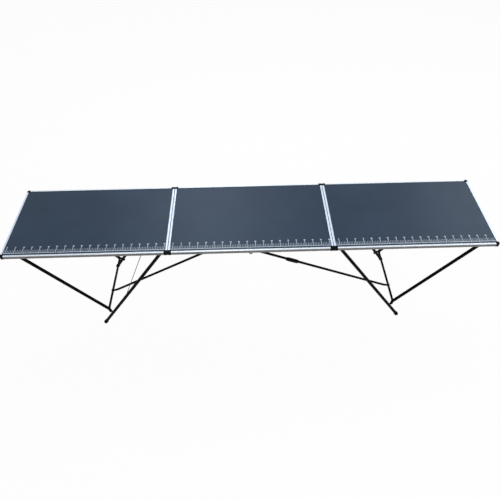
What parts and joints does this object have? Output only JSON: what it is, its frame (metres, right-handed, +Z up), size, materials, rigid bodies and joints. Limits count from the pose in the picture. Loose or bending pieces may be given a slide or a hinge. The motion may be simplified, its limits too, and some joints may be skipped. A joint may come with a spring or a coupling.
{
  "type": "wallpaper pasting table",
  "caption": "Folding wallpaper pasting table: slate-grey boards in aluminium rails, hinged end to end, on tube trestles held by hooked braces with lock sleeves and wire stays.",
  "frame": {"origin": "on the floor under the middle of the table", "axes": "+X along the table to its right-hand end, +Y from the front edge to the back edge, +Z up"},
  "size_m": [3, 0.6, 0.78],
  "materials": {
    "board": "slate-grey lacquered hardboard with a soft sheen",
    "rail": "satin extruded aluminium, scuffed along its edges",
    "black_tube": "black powder-coated steel tube and rod",
    "plated_steel": "zinc-plated steel",
    "black_plastic": "black moulded plastic"
  },
  "bodies": {
    "middle": {"middle_board": "board", "middle_front_rail": "rail", "middle_back_rail": "rail", "middle_left_end_rail": "rail", "middle_right_end_rail": "rail", "cross_rod": "plated_steel", "cross_rod_bearing_front": "black_plastic", "cross_rod_bearing_back": "black_plastic", "left_front_hinge_inner_leaf": "plated_steel", "left_back_hinge_inner_leaf": "plated_steel", "right_front_hinge_inner_leaf": "plated_steel", "right_back_hinge_inner_leaf": "plated_steel"},
    "left_panel": {"left_board": "board", "left_front_rail": "rail", "left_back_rail": "rail", "left_inner_end_rail": "rail", "left_outer_end_rail": "rail", "left_front_hinge_outer_leaf": "plated_steel", "left_back_hinge_outer_leaf": "plated_steel", "left_leg_bearing_front": "black_plastic", "left_leg_bearing_back": "black_plastic", "left_strut_bearing_front": "black_plastic", "left_strut_bearing_back": "black_plastic", "left_stay_lug": "plated_steel"},
    "left_leg_frame": {"left_leg_top_tube": "black_tube", "left_front_leg": "black_tube", "left_back_leg": "black_tube", "left_front_foot_cap": "black_plastic", "left_back_foot_cap": "black_plastic"},
    "left_strut_frame": {"left_strut_top_tube": "black_tube", "left_front_strut": "black_tube", "left_back_strut": "black_tube", "left_crossbar": "black_tube"},
    "left_brace_rod": {"left_brace": "black_tube"},
    "left_sleeve": {"left_lock_sleeve": "black_plastic"},
    "left_stay_wire": {"left_stay": "plated_steel"},
    "right_panel": {"right_board": "board", "right_front_rail": "rail", "right_back_rail": "rail", "right_inner_end_rail": "rail", "right_outer_end_rail": "rail", "right_front_hinge_outer_leaf": "plated_steel", "right_back_hinge_outer_leaf": "plated_steel", "right_leg_bearing_front": "black_plastic", "right_leg_bearing_back": "black_plastic", "right_strut_bearing_front": "black_plastic", "right_strut_bearing_back": "black_plastic", "right_stay_lug": "plated_steel"},
    "right_leg_frame": {"right_leg_top_tube": "black_tube", "right_front_leg": "black_tube", "right_back_leg": "black_tube", "right_front_foot_cap": "black_plastic", "right_back_foot_cap": "black_plastic"},
    "right_strut_frame": {"right_strut_top_tube": "black_tube", "right_front_strut": "black_tube", "right_back_strut": "black_tube", "right_crossbar": "black_tube"},
    "right_brace_rod": {"right_brace": "black_tube"},
    "right_sleeve": {"right_lock_sleeve": "black_plastic"},
    "right_stay_wire": {"right_stay": "plated_steel"}
  },
  "joints": [
    {"name": "left_panel_fold", "type": "hinge", "parent": "middle", "child": "left_panel", "pos_m": [-0.50027, 0, 0.748], "axis": [0, -1, 0], "range_deg": [0, 105]},
    {"name": "left_leg_fold", "type": "hinge", "parent": "left_panel", "child": "left_leg_frame", "pos_m": [-0.54107, 0, 0.747], "axis": [0, 1, 0], "range_deg": [0, 54.32]},
    {"name": "left_strut_fold", "type": "hinge", "parent": "left_panel", "child": "left_strut_frame", "pos_m": [-1.45, 0, 0.747], "axis": [0, -1, 0], "range_deg": [0, 53.27]},
    {"name": "left_brace_swing", "type": "hinge", "parent": "middle", "child": "left_brace_rod", "pos_m": [0, 0, 0.742], "axis": [0, -1, 0], "range_deg": [0, 67.21]},
    {"name": "left_sleeve_slide", "type": "slide", "parent": "left_brace_rod", "child": "left_sleeve", "axis": [0.8477, -0.039, 0.529], "range_m": [0, 0.12]},
    {"name": "left_stay_fold", "type": "hinge", "parent": "left_panel", "child": "left_stay_wire", "pos_m": [-0.65107, -0.249, 0.7643], "axis": [0, 1, 0], "range_deg": [0, 66.47]},
    {"name": "right_panel_fold", "type": "hinge", "parent": "middle", "child": "right_panel", "pos_m": [0.50027, 0, 0.748], "axis": [0, 1, 0], "range_deg": [0, 105]},
    {"name": "right_leg_fold", "type": "hinge", "parent": "right_panel", "child": "right_leg_frame", "pos_m": [0.54107, 0, 0.747], "axis": [0, -1, 0], "range_deg": [0, 54.32]},
    {"name": "right_strut_fold", "type": "hinge", "parent": "right_panel", "child": "right_strut_frame", "pos_m": [1.45, 0, 0.747], "axis": [0, 1, 0], "range_deg": [0, 53.27]},
    {"name": "right_brace_swing", "type": "hinge", "parent": "middle", "child": "right_brace_rod", "pos_m": [0, 0, 0.742], "axis": [0, 1, 0], "range_deg": [0, 67.21]},
    {"name": "right_sleeve_slide", "type": "slide", "parent": "right_brace_rod", "child": "right_sleeve", "axis": [-0.8403, -0.138, 0.5243], "range_m": [0, 0.12]},
    {"name": "right_stay_fold", "type": "hinge", "parent": "right_panel", "child": "right_stay_wire", "pos_m": [0.65107, 0.249, 0.7643], "axis": [0, -1, 0], "range_deg": [0, 66.47]}
  ],
  "couplings": [
    {"joint": "left_leg_fold", "follows": "left_panel_fold", "ratio": 0.5172},
    {"joint": "left_strut_fold", "follows": "left_panel_fold", "ratio": 0.5072},
    {"joint": "left_brace_swing", "follows": "left_panel_fold", "ratio": 0.64},
    {"joint": "left_stay_fold", "follows": "left_panel_fold", "ratio": 0.633},
    {"joint": "right_leg_fold", "follows": "right_panel_fold", "ratio": 0.5172},
    {"joint": "right_strut_fold", "follows": "right_panel_fold", "ratio": 0.5072},
    {"joint": "right_brace_swing", "follows": "right_panel_fold", "ratio": 0.64},
    {"joint": "right_stay_fold", "follows": "right_panel_fold", "ratio": 0.633}
  ]
}
